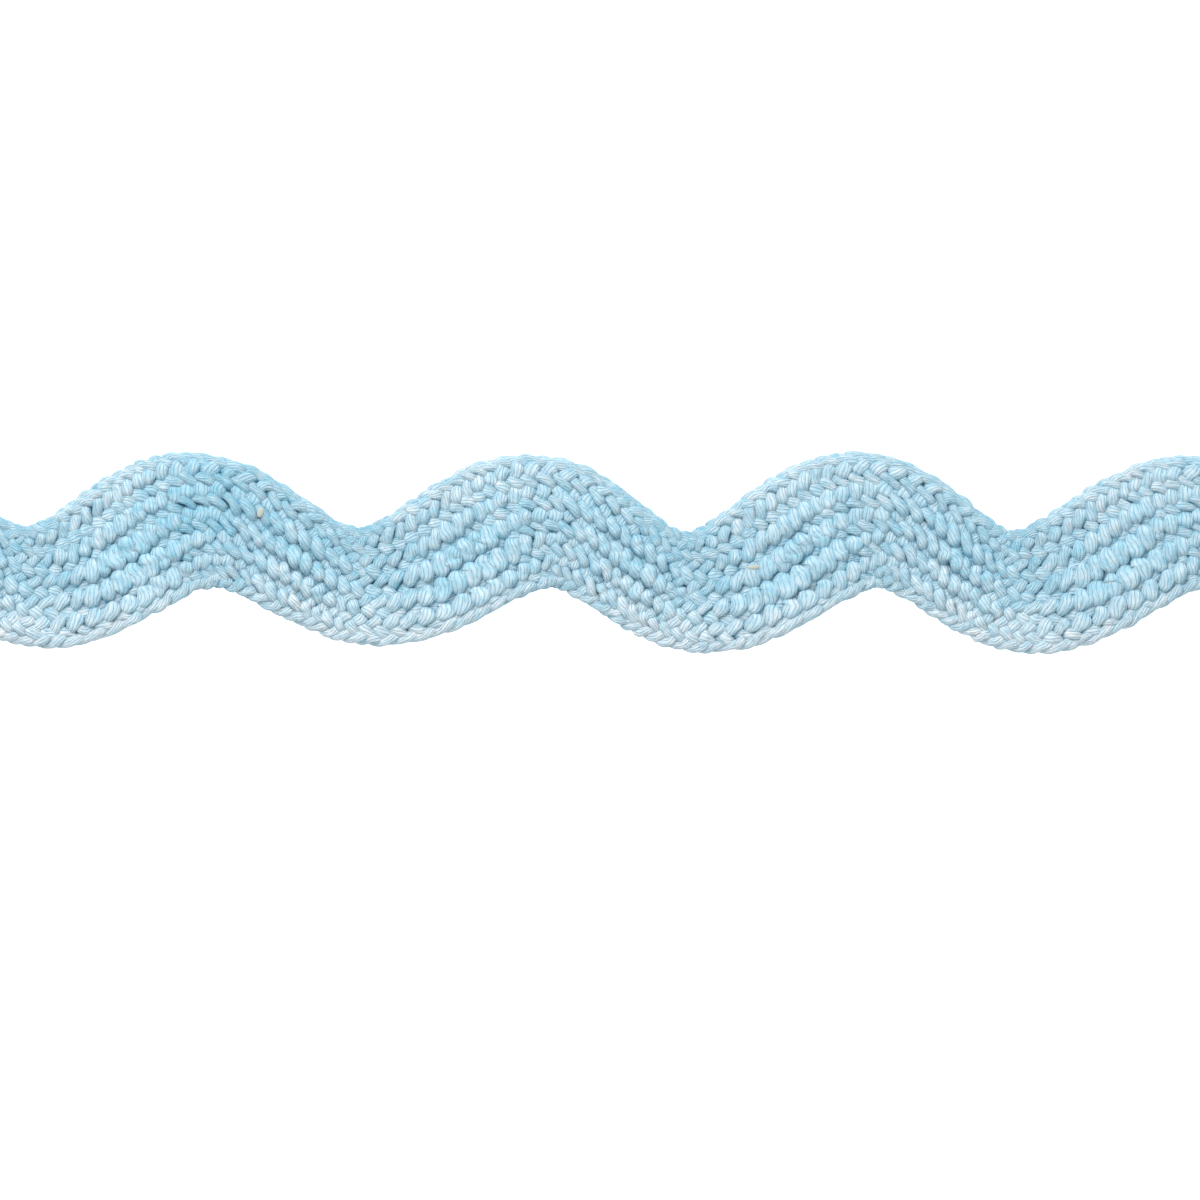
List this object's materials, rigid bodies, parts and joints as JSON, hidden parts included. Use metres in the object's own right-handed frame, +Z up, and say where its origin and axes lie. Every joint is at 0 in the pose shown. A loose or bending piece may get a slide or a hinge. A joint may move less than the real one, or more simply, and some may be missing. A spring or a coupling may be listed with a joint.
{
  "type": "cut length of ric rac braid",
  "caption": "Wavy flat cotton braid trim, a plain cut length lying flat, sewn on as a zigzag edging.",
  "frame": {"origin": "middle of the braid's footprint, on its flat underside", "axes": "+X along the braid, +Y across it towards the crests, +Z up from the surface it lies on"},
  "size_m": [0.1138, 0.0152, 0.0021],
  "materials": {
    "cotton": "matt plied cotton"
  },
  "bodies": {
    "root": {"ric_rac_braid": "cotton"}
  },
  "joints": []
}
